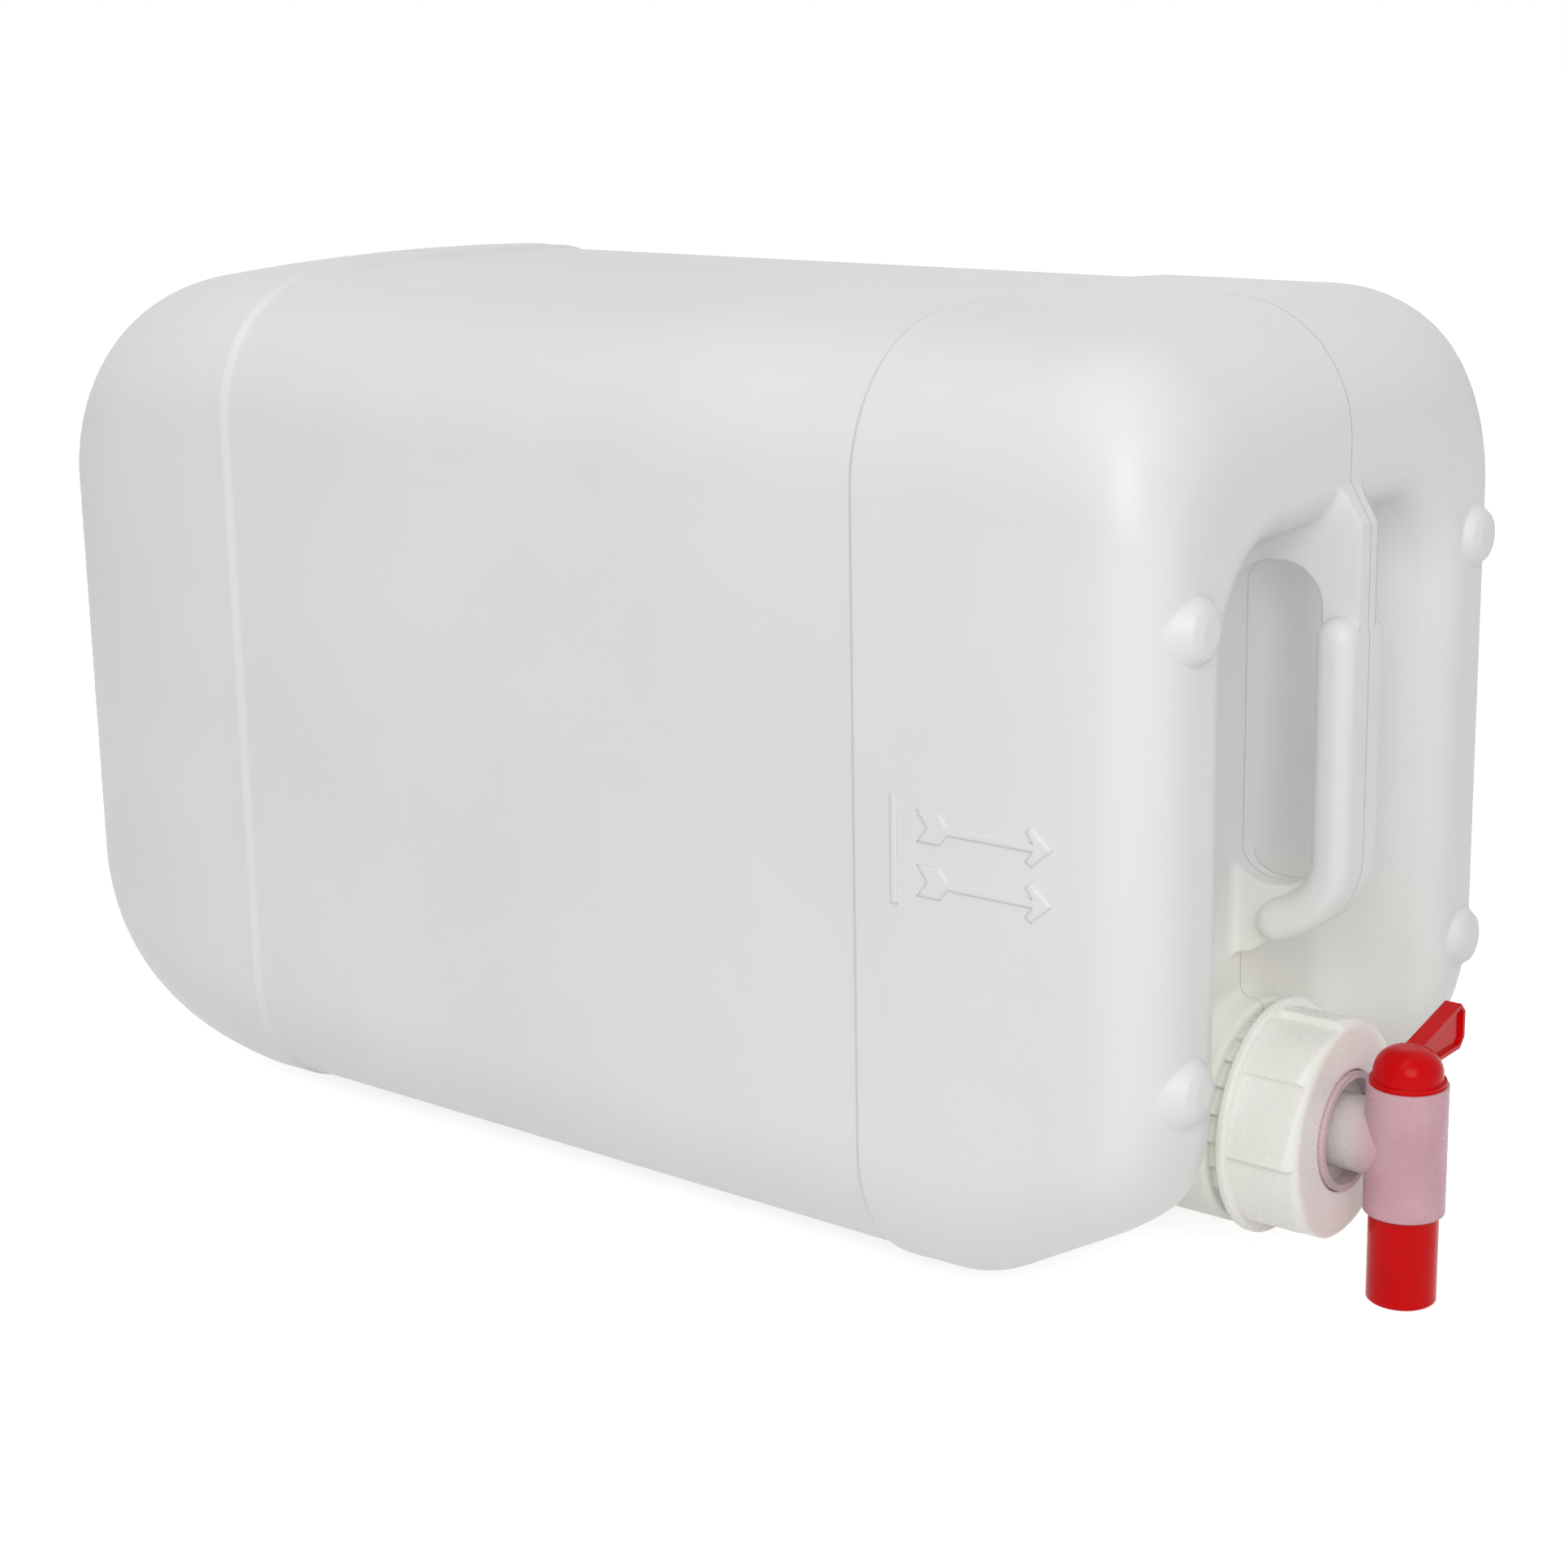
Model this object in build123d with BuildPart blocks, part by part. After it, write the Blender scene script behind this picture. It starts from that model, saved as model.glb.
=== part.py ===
from build123d import *
import os
from math import cos, pi, radians, sin, sqrt, tan

# Lying 25 litre stackable container, blown in one piece with its handle, and its screw-on tap.
# Millimetres. +X runs from the base to the tap, +Z is up as the container lies to pour.
# The origin is under the middle of the overall length, level with the spout's mouth.

# Container body, as it lies: X is its length, Y its width, Z its height
can_length = 466.5
can_width = 216.0
can_height = 294.0
corner_radius = 47.0
back_crown = 5.6
wall = 2.2

# Bands proud of the side panel
base_band = 101.0
shoulder_length = 100.5
panel_recess = 1.2
base_ramp = 3.0
shoulder_ramp = 0.9

# Soft base end: quarter ellipses along the length, and corners that grow rounder
base_side_run = 87.0
base_side_depth = 23.0
base_edge_run = 93.0
base_edge_depth = 36.5
base_corner_growth = 6.5
push_up_depth = 5.0
push_up_margin = 18.0
push_up_corner = 34.0
push_up_draft = 50.0
push_up_overrun = 4.0

# Rim round the top: radii at the sides, the back and the front, and the slope in front
rim_side_radius = 21.0
rim_back_radius = 40.0
rim_front_radius = 39.5
rim_front_height = 67.5
rim_corner_cut = 14.0
front_slope = 32.0
front_foot_radius = 36.5
front_corner_radius = 29.0
front_corner_rate = 0.6

# Channel in the top, open to the front; its widths are those at the rim plane
channel_depth = 33.0
channel_draft = 25.0
channel_corner = 35.0
channel_floor_radius = 16.0
channel_lip_radius = 14.0
channel_overrun = 10.0
channel_run_out = 80.0
arm_width = 38.5
bridge_width = 59.7

# Neck and its ratchet ring
neck_height = 42.5
boss_drop = 24.8
boss_radius = 35.5
boss_run = 55.0
boss_edge = 1.6
boss_root_radius = 4.0
neck_length = 21.8
neck_radius = 28.0
neck_wall = 2.8
neck_edge = 0.8
ratchet_radius = 32.8
ratchet_tooth = 1.4
ratchet_teeth = 24
ratchet_length = 4.1

# Handle: a web across the channel with a thick grip blown into it
# Its front is placed from the neck's axis, its back from the channel's back end
web_thickness = 10.0
web_rise = 6.9
web_root_radius = 3.5
web_overlap = 11.0
web_foot_rise = 50.3
web_foot_step = 2.0
web_foot_height = 6.0
web_knee_rise = 66.3
web_knee_height = 26.0
web_back_gap = 4.5
hole_front_rise = 75.3
hole_back_gap = 17.0
hole_roof = 5.6
hole_radius = 13.0
hole_drop = 1.5
grip_width = 25.0
grip_thickness = 12.6
grip_proud = 0.5
grip_edge = 5.4
grip_back_gap = 38.0
grip_bend_rise = 87.2
grip_bend_radius = 22.0
grip_bend_angle = 64.0
grip_tail = 6.0

# Stacking nubs on the rim
nub_radius = 10.0
nub_height = 4.3
nub_draft = 38.0
nub_root = 4.0
nub_cap_height = 1.3
nub_cap_draft = 68.0
nub_inset = 22.0
nub_front_rise = 38.0
nub_back_gap = 21.5

# Thread, right-handed, coarse and shallow as on a blown neck
thread_pitch = 6.0
thread_height = 1.7
thread_base = 3.0
thread_crest = 1.5
thread_turns = 1.75
thread_start = 3.0
thread_clearance = 0.3
thread_backlash = 0.05
thread_root = 0.4

# Union nut
nut_gap = 4.6
nut_rim_radius = 37.0
nut_rim_length = 3.2
nut_rim_edge = 0.8
nut_low_radius = 32.7
nut_high_radius = 35.0
nut_sectors = 8
nut_sector_start = 5.0
nut_step_edge = 0.9
nut_front_radius = 5.0
nut_roof = 3.2
nut_hole_clearance = 0.4

# Gasket and tap body
gasket_thickness = 2.0
gasket_overlap = 0.8
flange_thickness = 2.8
flange_clearance = 0.6
collar_radius = 18.6
collar_proud = 1.4
tap_wall = 2.1
inlet_radius = 11.6
inlet_port_radius = 6.4
tap_reach = 24.5
sleeve_radius = 12.3
sleeve_top = 19.7
sleeve_bottom = 20.7

# Plug with its lever and spout, turned in the sleeve
spout_radius = 10.6
spout_wall = 2.1
spout_drop = 7.0
spout_edge = 0.5
plug_clearance = 0.05
plug_bore_rise = 5.0
seat_lip = 0.9
seat_rise = 1.6
dome_rise = 11.3
dome_edge = 8.0
port_width = 11.0
port_height = 13.0
port_corner = 3.3
bead_height = 0.35
bead_length = 1.2
bead_gap = 0.2
lever_thickness = 5.4
lever_reach = 32.5
lever_under = 2.6
lever_root_rise = 10.4
lever_tip_rise = 17.0
lever_corner = 3.0
lever_rim = 1.5
lever_panel_depth = 1.1
lever_panel_start = 11.5

# Places that follow from the sizes above
overall_length = can_length + tap_reach + sleeve_radius
x_base = -overall_length / 2
x_rim = x_base + can_length
x_tap = x_rim + tap_reach
x_shoulder = x_rim - shoulder_length
x_panel = x_base + base_band
x_floor = x_rim - channel_depth
x_boss = x_rim - boss_drop
x_neck = x_boss + neck_length
x_flange = x_neck + gasket_thickness
x_roof = x_flange + flange_thickness
x_nut = x_boss + nut_gap
z_low = spout_drop
z_high = z_low + can_height
z_mid = (z_low + z_high) / 2
z_neck = z_low + neck_height
z_channel = z_high - bridge_width
z_sleeve = z_neck + sleeve_top
sleeve_bore = spout_radius + plug_clearance
nut_bore = neck_radius + thread_height + thread_clearance
neck_bore = neck_radius - neck_wall
spout_bore = spout_radius - spout_wall
nut_length = x_roof + nut_roof - x_nut
root = wall / 2


def across(x, z=0.0):
    """Plane square to the length at x: its own X is the width, its own Y is up."""
    return Plane(origin=(x, 0, z), x_dir=(0, 1, 0), z_dir=(1, 0, 0))


def quarter(run, length, depth):
    """How far a quarter ellipse has come in, run before the end of its length."""
    along = min(max(run / length, 0.0), 1.0)
    return depth * (1 - sqrt(1 - along * along))


def front_profile(x, inset):
    """Lowest height of the shoulder at x: flat, foot arc, slope and rim arc, moved in by inset."""
    slope = radians(front_slope)
    rim_r = rim_front_radius - inset
    rim_x = x_rim - rim_front_radius
    rim_z = z_low + rim_front_height
    slope_x = rim_x + rim_r * sin(slope)
    slope_z = rim_z - rim_r * cos(slope)
    foot_r = front_foot_radius - inset
    level = z_low + inset
    knee = slope_x - (slope_z - level) / tan(slope)
    tangent = foot_r * tan(slope / 2)
    if x <= knee - tangent:
        return level
    if x <= knee + tangent * cos(slope):
        return level + foot_r - sqrt(foot_r**2 - (x - knee + tangent) ** 2)
    if x <= slope_x:
        return level + (x - knee) * tan(slope)
    return rim_z - sqrt(max(rim_r**2 - (x - rim_x) ** 2, 0.0))


def ring(x, half_width, low, high, low_radius, high_radius):
    """One cross section of the body: rounded corners, and a back edge that swells a little."""
    side_top = high - back_crown
    with BuildSketch(across(x)) as section:
        with BuildLine():
            Line((-half_width, low), (half_width, low))
            Line((half_width, low), (half_width, side_top))
            ThreePointArc((half_width, side_top), (0, high), (-half_width, side_top))
            Line((-half_width, side_top), (-half_width, low))
        make_face()
        fillet(section.vertices().group_by(Axis.Y)[0], low_radius)
        fillet(section.vertices().group_by(Axis.Y)[-1], high_radius)
    return section.sketch


def straight_ring(x, inset):
    """Cross section of the straight bands, moved in by inset."""
    radius = corner_radius - inset
    return ring(x, can_width / 2 - inset, z_low + inset, z_high - inset, radius, radius)


def base_section(x, inset):
    """Section of the soft base end, on quarter ellipses."""
    side = quarter(x_base + base_side_run - x, base_side_run - inset, base_side_depth)
    edge_run = x_base + base_edge_run - x
    edge = quarter(edge_run, base_edge_run - inset, base_edge_depth)
    radius = corner_radius - inset + quarter(edge_run, base_edge_run - inset, base_corner_growth)
    return ring(
        x,
        can_width / 2 - inset - side,
        z_low + inset + edge,
        z_high - inset - edge,
        radius,
        radius,
    )


def shoulder_section(x, inset):
    """Section of the shoulder, rounded in by the rim's radii."""
    side_r = rim_side_radius - inset
    back_r = rim_back_radius - inset
    back_run = x - (x_rim - rim_back_radius)
    low = front_profile(x, inset)
    rise = low - z_low - inset
    return ring(
        x,
        can_width / 2 - inset - quarter(x - (x_rim - rim_side_radius), side_r, side_r),
        low,
        z_high - inset - quarter(back_run, back_r, back_r),
        max(corner_radius - front_corner_rate * rise, front_corner_radius) - inset,
        corner_radius - inset - quarter(back_run, back_r, rim_corner_cut),
    )


def outer_form(inset):
    """Closed form of the body before its channel; inset moves every wall in."""
    base_steps = 7
    slope_steps = 6
    rim_steps = 7
    base_span = max(base_side_run, base_edge_run)
    base_places = [
        x_base + base_span - (base_span - inset) * sin(pi / 2 * k / base_steps)
        for k in range(base_steps + 1)
    ]
    slope_span = shoulder_length - rim_back_radius
    slope_places = [x_shoulder + slope_span * k / slope_steps for k in range(slope_steps)]
    rim_places = [
        x_rim - rim_back_radius + (rim_back_radius - inset) * sin(pi / 2 * k / rim_steps)
        for k in range(rim_steps + 1)
    ]
    sunk = inset + panel_recess
    with BuildPart() as form:
        loft(sections=[base_section(x, inset) for x in reversed(base_places)])
        extrude(to_extrude=straight_ring(x_base + base_span, inset), amount=base_band - base_span)
        loft(
            sections=[straight_ring(x_panel, inset), straight_ring(x_panel + base_ramp, sunk)],
            ruled=True,
        )
        extrude(
            to_extrude=straight_ring(x_panel + base_ramp, sunk),
            amount=x_shoulder - shoulder_ramp - x_panel - base_ramp,
        )
        loft(
            sections=[straight_ring(x_shoulder - shoulder_ramp, sunk), straight_ring(x_shoulder, inset)],
            ruled=True,
        )
        loft(sections=[shoulder_section(x, inset) for x in slope_places + rim_places])
    return form.part


def channel_form(inset):
    """Block that cuts the channel and runs out past the front; inset grows it for the cavity."""
    draft = radians(channel_draft)
    spread = channel_overrun * tan(draft) + inset / cos(draft)
    high = z_channel + spread
    low = z_low - channel_run_out
    half = can_width / 2 - arm_width + spread
    with BuildPart() as form:
        with BuildSketch(across(x_rim + channel_overrun, (low + high) / 2)):
            RectangleRounded(2 * half, high - low, channel_corner + spread)
        extrude(amount=-(channel_overrun + channel_depth + inset), taper=channel_draft)
        fillet(form.faces().sort_by(Axis.X)[0].edges(), channel_floor_radius + inset)
    return form.part


def push_up_form(inset):
    """Block that lifts the middle of the base end; inset grows it for the cavity."""
    draft = radians(push_up_draft)
    spread = push_up_overrun * tan(draft) + inset / cos(draft)
    width = can_width - 2 * (base_side_depth + push_up_margin - spread)
    height = can_height - 2 * (base_edge_depth + push_up_margin - spread)
    with BuildPart() as form:
        with BuildSketch(across(x_base - push_up_overrun, z_mid)):
            RectangleRounded(width, height, push_up_corner + spread)
        extrude(amount=push_up_overrun + push_up_depth + inset, taper=push_up_draft)
    return form.part


def hollow_form(inset):
    """Body with its channel and push-up cut and the channel's lip rounded, walls moved in by inset."""
    body = outer_form(inset)
    channel = channel_form(inset)
    with BuildPart() as form:
        add(body)
        add(channel, mode=Mode.SUBTRACT)
        fillet(new_edges(body, channel, combined=form.part), channel_lip_radius - inset)
        add(push_up_form(inset), mode=Mode.SUBTRACT)
    return form.part


def handle_web():
    """Web across the channel with its finger hole, flat on the middle plane."""
    top = x_rim + web_rise
    sunk = x_floor - 2 * wall
    foot = z_neck + web_foot_rise
    with BuildPart() as form:
        with BuildSketch(Plane.XZ):
            with BuildLine():
                Polyline(
                    (sunk, foot),
                    (x_floor + web_foot_height, foot + web_foot_step),
                    (x_floor + web_knee_height, z_neck + web_knee_rise),
                    (top, z_neck + grip_bend_rise),
                    (top, z_channel - web_back_gap),
                    (x_rim - wall, z_channel + web_overlap),
                    (sunk, z_channel + web_overlap),
                    close=True,
                )
            make_face()
        extrude(amount=web_thickness / 2, both=True)
        hole_low = x_floor - hole_drop
        hole_high = x_rim - hole_roof
        hole_front = z_neck + hole_front_rise
        hole_back = z_channel - hole_back_gap
        with BuildSketch(Plane.XZ):
            with Locations(((hole_low + hole_high) / 2, (hole_front + hole_back) / 2)):
                RectangleRounded(hole_high - hole_low, hole_back - hole_front, hole_radius)
        extrude(amount=web_thickness, both=True, mode=Mode.SUBTRACT)
    return form.part


def handle_grip():
    """Thick rounded bar of the handle: a straight length, a bend and a short tail."""
    centre = x_rim + web_rise + grip_proud - grip_thickness / 2
    with BuildPart() as form:
        with BuildSketch(Plane.XZ):
            with BuildLine():
                bar = Line((centre, z_channel - grip_back_gap), (centre, z_neck + grip_bend_rise))
                bend = JernArc(bar @ 1, bar % 1, grip_bend_radius, -grip_bend_angle)
                Line(bend @ 1, bend @ 1 + bend % 1 * grip_tail)
                offset(amount=grip_thickness / 2)
            make_face()
        extrude(amount=grip_width / 2, both=True)
        fillet(form.faces().filter_by(Axis.Y).edges(), grip_edge)
    return form.part


def nub_form():
    """The four low studs on the rim, rooted a little inside it."""
    slope = tan(radians(nub_draft))
    side = can_width / 2 - nub_inset
    low_height = nub_height - nub_cap_height
    places = [(y * side, z) for y in (-1, 1) for z in (z_neck + nub_front_rise, z_channel - nub_back_gap)]
    with BuildPart() as form:
        with BuildSketch(across(x_rim - nub_root)):
            with Locations(*places):
                Circle(nub_radius + nub_root * slope)
        extrude(amount=nub_root + low_height, taper=nub_draft)
        with BuildSketch(across(x_rim + low_height)):
            with Locations(*places):
                Circle(nub_radius - low_height * slope)
        extrude(amount=nub_cap_height, taper=nub_cap_draft)
    return form.part


def thread_ridge(radius, inward):
    """Helical ridge on a wall of the given radius, built along Z from the origin."""
    way = -1 if inward else 1
    with BuildPart() as form:
        with BuildLine() as path:
            Helix(thread_pitch, thread_pitch * thread_turns, radius)
        with BuildSketch(Plane(origin=path.line @ 0, x_dir=(1, 0, 0), z_dir=path.line % 0)):
            with BuildLine():
                Polyline(
                    (-way * thread_root, -thread_base / 2),
                    (0, -thread_base / 2),
                    (way * thread_height, -thread_crest / 2),
                    (way * thread_height, thread_crest / 2),
                    (0, thread_base / 2),
                    (-way * thread_root, thread_base / 2),
                    close=True,
                )
            make_face()
        sweep(path=path.line, is_frenet=True)
    return form.part


def polar(radius, angle):
    """Point of a flat sketch at a radius and an angle in degrees."""
    return (radius * cos(radians(angle)), radius * sin(radians(angle)))


def ratchet_plan():
    """Ring of short ramps that each step back to the low radius."""
    step = 360 / ratchet_teeth
    points = []
    for k in range(ratchet_teeth):
        points.append(polar(ratchet_radius - ratchet_tooth, k * step))
        points.append(polar(ratchet_radius, (k + 1) * step))
    with BuildSketch(across(x_boss - root, z_neck)) as plan:
        with BuildLine():
            Polyline(*points, close=True)
        make_face()
    return plan.sketch


def grip_plan():
    """Outline of the nut's grip: it swells from low to high in each sector, then steps back."""
    step = 360 / nut_sectors
    middle = (nut_low_radius + nut_high_radius) / 2
    with BuildSketch(across(x_nut, z_neck)) as plan:
        with BuildLine():
            for k in range(nut_sectors):
                here = nut_sector_start + k * step
                low = polar(nut_low_radius, here)
                high = polar(nut_high_radius, here + step)
                ThreePointArc(low, polar(middle, here + step / 2), high)
                Line(high, polar(nut_low_radius, here + step))
        make_face()
        fillet(plan.vertices(), nut_step_edge)
    return plan.sketch


def circles_at(work, x, radius):
    """Round edges of a work piece that lie square to the length at x with this radius."""
    near = radius / 1000
    rounds = work.edges().filter_by(GeomType.CIRCLE).filter_by_position(Axis.X, x - near, x + near)
    return rounds.filter_by(lambda edge: abs(edge.radius - radius) < near)


shell_outside = hollow_form(0.0)
shell_inside = hollow_form(wall)
web = handle_web()
ratchet = extrude(ratchet_plan(), amount=ratchet_length + root)
nut_grip = extrude(grip_plan(), amount=nut_length)
x_thread = x_boss + neck_length - thread_start - thread_pitch * thread_turns
ridge_widths = thread_base + thread_crest - (thread_base - thread_crest) * thread_clearance / thread_height
x_nut_thread = x_thread - ridge_widths / 2 - thread_backlash
neck_thread = across(x_thread, z_neck).location * thread_ridge(neck_radius, inward=False)
nut_thread = across(x_nut_thread, z_neck).location * thread_ridge(nut_bore, inward=True)

with BuildPart() as container:
    add(shell_outside)
    # Boss under the neck, run back into the body and rounded into it
    with BuildSketch(across(x_boss - boss_run, z_neck)):
        Circle(boss_radius)
    boss = extrude(amount=boss_run, mode=Mode.PRIVATE)
    add(boss)
    fillet(new_edges(shell_outside, boss, combined=container.part), boss_root_radius)
    chamfer(circles_at(container, x_boss, boss_radius), boss_edge)
    # Handle, its web rounded into the channel
    footing = container.part
    add(web)
    fillet(new_edges(footing, web, combined=container.part), web_root_radius)
    add(handle_grip())
    add(nub_form())
    # Neck and the ratchet ring that the nut runs up to, rooted in the boss
    with BuildSketch(across(x_boss - root, z_neck)):
        Circle(neck_radius)
    extrude(amount=neck_length + root)
    chamfer(circles_at(container, x_neck, neck_radius), neck_edge)
    add(ratchet)
    add(neck_thread)
    # Cavity, running up into the boss and out through the neck
    add(shell_inside, mode=Mode.SUBTRACT)
    with BuildSketch(across(x_boss - boss_run, z_neck)):
        Circle(boss_radius - wall)
    extrude(amount=boss_run - wall, mode=Mode.SUBTRACT)
    with BuildSketch(across(x_boss - boss_run, z_neck)):
        Circle(neck_bore)
    extrude(amount=boss_run + neck_length, mode=Mode.SUBTRACT)
container.part.label = "container"

with BuildPart() as union_nut:
    # Grip with a rounded front
    with BuildSketch(across(x_nut, z_neck)):
        Circle(nut_high_radius)
    extrude(amount=nut_length)
    fillet(circles_at(union_nut, x_nut + nut_length, nut_high_radius), nut_front_radius)
    add(nut_grip, mode=Mode.INTERSECT)
    # Rim at the container's end
    with BuildSketch(across(x_nut, z_neck)):
        Circle(nut_rim_radius)
    extrude(amount=nut_rim_length)
    chamfer(circles_at(union_nut, x_nut, nut_rim_radius), nut_rim_edge)
    chamfer(circles_at(union_nut, x_nut + nut_rim_length, nut_rim_radius), nut_rim_edge)
    # Threaded bore, and the hole round the collar
    with BuildSketch(across(x_nut, z_neck)):
        Circle(nut_bore)
    extrude(amount=x_roof - x_nut, mode=Mode.SUBTRACT)
    with BuildSketch(across(x_nut, z_neck)):
        Circle(collar_radius + nut_hole_clearance)
    extrude(amount=nut_length, mode=Mode.SUBTRACT)
    add(nut_thread)
union_nut.part.label = "union_nut"

with BuildPart() as tap_gasket:
    with BuildSketch(across(x_neck, z_neck)):
        Circle(neck_radius + gasket_overlap)
        Circle(neck_bore - gasket_overlap, mode=Mode.SUBTRACT)
    extrude(amount=gasket_thickness)
tap_gasket.part.label = "tap_gasket"

with BuildPart() as tap_body:
    # Flange in the nut
    with BuildSketch(across(x_flange, z_neck)):
        Circle(nut_bore - flange_clearance)
    extrude(amount=flange_thickness)
    # Collar through the nut's hole
    with BuildSketch(across(x_flange, z_neck)):
        Circle(collar_radius)
        Circle(collar_radius - tap_wall, mode=Mode.SUBTRACT)
    extrude(amount=x_roof + nut_roof + collar_proud - x_flange)
    # Inlet pipe and upright sleeve
    with BuildSketch(across(x_flange, z_neck)):
        Circle(inlet_radius)
    extrude(amount=x_tap - x_flange)
    with BuildSketch(Plane.XY.offset(z_neck - sleeve_bottom)):
        with Locations((x_tap, 0)):
            Circle(sleeve_radius)
    extrude(amount=sleeve_bottom + sleeve_top)
    # Bores of the pipe, the port into the sleeve, and the sleeve
    with BuildSketch(across(x_flange, z_neck)):
        Circle(inlet_radius - tap_wall)
    extrude(amount=x_tap - sleeve_radius - x_flange, mode=Mode.SUBTRACT)
    with BuildSketch(across(x_flange, z_neck)):
        Circle(inlet_port_radius)
    extrude(amount=x_tap - x_flange, mode=Mode.SUBTRACT)
    with BuildSketch(Plane.XY.offset(z_neck - sleeve_bottom)):
        with Locations((x_tap, 0)):
            Circle(sleeve_bore)
    extrude(amount=sleeve_bottom + sleeve_top, mode=Mode.SUBTRACT)
tap_body.part.label = "tap_body"

with BuildPart() as tap_plug:
    # Spout tube and dome
    with BuildSketch(Plane.XY):
        with Locations((x_tap, 0)):
            Circle(spout_radius)
    extrude(amount=z_sleeve + dome_rise)
    fillet(tap_plug.edges().group_by(Axis.Z)[-1], dome_edge)
    chamfer(tap_plug.edges().group_by(Axis.Z)[0], spout_edge)
    # Lip seated on the sleeve
    with BuildSketch(Plane.XY.offset(z_sleeve)):
        with Locations((x_tap, 0)):
            Circle(spout_radius + seat_lip)
    extrude(amount=seat_rise)
    # Snap bead under the sleeve
    with BuildSketch(Plane.XY.offset(z_neck - sleeve_bottom - bead_gap - bead_length)):
        with Locations((x_tap, 0)):
            Circle(spout_radius + bead_height)
    extrude(amount=bead_length)
    # Lever, its faces sunk inside a thin rim
    with BuildSketch(Plane.YZ.offset(x_tap)) as lever_side:
        with BuildLine():
            Polyline(
                (0, z_sleeve + lever_under),
                (lever_reach - lever_corner, z_sleeve + lever_under),
                (lever_reach, z_sleeve + lever_under + lever_corner),
                (lever_reach, z_sleeve + lever_tip_rise - lever_corner),
                (lever_reach - lever_corner, z_sleeve + lever_tip_rise),
                (0, z_sleeve + lever_root_rise),
                close=True,
            )
        make_face()
    extrude(amount=lever_thickness / 2, both=True)
    for side in (-1, 1):
        with BuildSketch(Plane.YZ.offset(x_tap + side * lever_thickness / 2)) as panel:
            with BuildLine():
                Polyline(
                    (lever_panel_start, z_sleeve + lever_under + lever_rim),
                    (lever_reach - lever_corner, z_sleeve + lever_under + lever_rim),
                    (lever_reach - lever_rim, z_sleeve + lever_under + lever_corner),
                    (lever_reach - lever_rim, z_sleeve + lever_tip_rise - lever_corner),
                    (lever_reach - lever_corner, z_sleeve + lever_tip_rise - lever_rim),
                    (lever_panel_start, z_sleeve + lever_root_rise),
                    close=True,
                )
            make_face()
        extrude(amount=-side * lever_panel_depth, mode=Mode.SUBTRACT)
    # Spout bore, and the port in its wall
    with BuildSketch(Plane.XY):
        with Locations((x_tap, 0)):
            Circle(spout_bore)
    extrude(amount=z_sleeve + plug_bore_rise, mode=Mode.SUBTRACT)
    with BuildSketch(Plane.YZ.offset(x_tap)):
        with Locations((0, z_neck)):
            RectangleRounded(port_width, port_height, port_corner)
    extrude(amount=spout_radius + seat_lip, mode=Mode.SUBTRACT)
tap_plug.part.label = "tap_plug"

os.makedirs("parts", exist_ok=True)
export_step(container.part, "parts/container.step")
export_step(union_nut.part, "parts/union_nut.step")
export_step(tap_gasket.part, "parts/tap_gasket.step")
export_step(tap_body.part, "parts/tap_body.step")
export_step(tap_plug.part, "parts/tap_plug.step")
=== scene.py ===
import logging
from dataclasses import dataclass, field
from enum import Enum
from math import radians
from typing import Sequence, Union

import bpy
import numpy as np
from mathutils import Matrix, Vector


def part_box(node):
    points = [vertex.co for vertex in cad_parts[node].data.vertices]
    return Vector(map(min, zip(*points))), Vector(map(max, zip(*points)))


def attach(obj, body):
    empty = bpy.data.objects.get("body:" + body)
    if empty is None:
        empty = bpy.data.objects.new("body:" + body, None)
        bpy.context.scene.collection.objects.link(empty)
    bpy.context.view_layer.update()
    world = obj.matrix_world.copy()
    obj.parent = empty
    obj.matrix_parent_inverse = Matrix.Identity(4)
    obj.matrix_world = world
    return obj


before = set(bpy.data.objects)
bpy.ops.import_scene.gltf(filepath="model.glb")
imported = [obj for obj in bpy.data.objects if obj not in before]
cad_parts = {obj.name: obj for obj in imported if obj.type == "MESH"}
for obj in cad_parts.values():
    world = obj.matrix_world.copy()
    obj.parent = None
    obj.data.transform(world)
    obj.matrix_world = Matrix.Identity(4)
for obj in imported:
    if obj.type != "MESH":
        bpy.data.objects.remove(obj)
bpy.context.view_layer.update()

log = logging.getLogger("container_scene")

MM = 0.001
WHITE = (1.0, 1.0, 1.0)

# Cosine between the rounded and the true normal where an edge's painted highlight begins to show, and where
# it is full
EDGE_START = 0.975
EDGE_FULL = 0.80
BEVEL_SAMPLES = 6

# Band of a noise's middle values that is spread over its whole range
NOISE_LOW = 0.3
NOISE_HIGH = 0.7

# Octaves of the broad and the fine noises, and the stretched noise that follows the flow along X
CLOUD_DETAIL = 3.0
FINE_DETAIL = 2.0
FLOW_SCALE = 160.0
FLOW_STRETCH = (0.25, 1.0, 1.0)

# Shares of the parting line's width, out from its middle, where it starts to fall and where it ends
PARTING_TOP = 0.15
PARTING_FOOT = 0.5

# How far red, green and blue travel inside the plastic, as shares of a finish's own distance
SCATTER = (1.0, 0.9, 0.8)

# Places of the colour sockets on a Mix node
MIX_LOW = 6
MIX_HIGH = 7
MIX_RESULT = 2

# Turn about X that makes an unturned camera look along Y, in degrees
LEVEL_TURN = 90.0

Colour = tuple[float, float, float]
Point = tuple[float, float, float]
Feed = Union[bpy.types.NodeSocket, float, tuple[float, ...]]


class Node(Enum):
    """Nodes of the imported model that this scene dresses."""

    CONTAINER = "container"
    NUT = "union_nut"
    GASKET = "tap_gasket"
    TAP = "tap_body"
    PLUG = "tap_plug"


class Body(Enum):
    """Bodies that new pieces may ride on."""

    CONTAINER = "container_body"


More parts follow.
